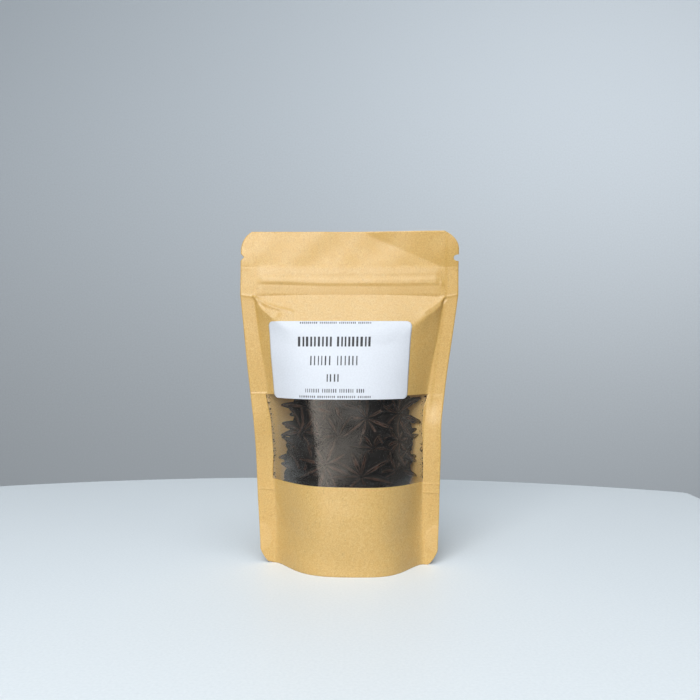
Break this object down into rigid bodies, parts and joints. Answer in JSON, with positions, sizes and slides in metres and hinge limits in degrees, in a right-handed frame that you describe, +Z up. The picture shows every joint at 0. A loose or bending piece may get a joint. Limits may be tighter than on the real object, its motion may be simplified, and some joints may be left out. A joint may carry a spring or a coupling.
{
  "type": "stand-up pouch of star anise",
  "caption": "Shut kraft-paper stand-up pouch with a press-to-close zip, a clear front window, a blank white sticker and dried star anise pods inside.",
  "frame": {"origin": "on the floor, under the middle of the standing pouch", "axes": "+Z up the pouch's height, +X to the right across the front, +Y from the windowed front to the back"},
  "size_m": [0.1101, 0.0444, 0.167],
  "materials": {
    "kraft_paper": "satin brown kraft paper laminate",
    "clear_film": "clear plastic film, slightly hazy",
    "white_paper": "smooth white label paper",
    "dried_pod": "dry, dark reddish brown, woody"
  },
  "bodies": {
    "root": {"kraft_pouch": "kraft_paper", "window_film": "clear_film", "sticker": "white_paper", "star_anise": "dried_pod"}
  },
  "joints": []
}
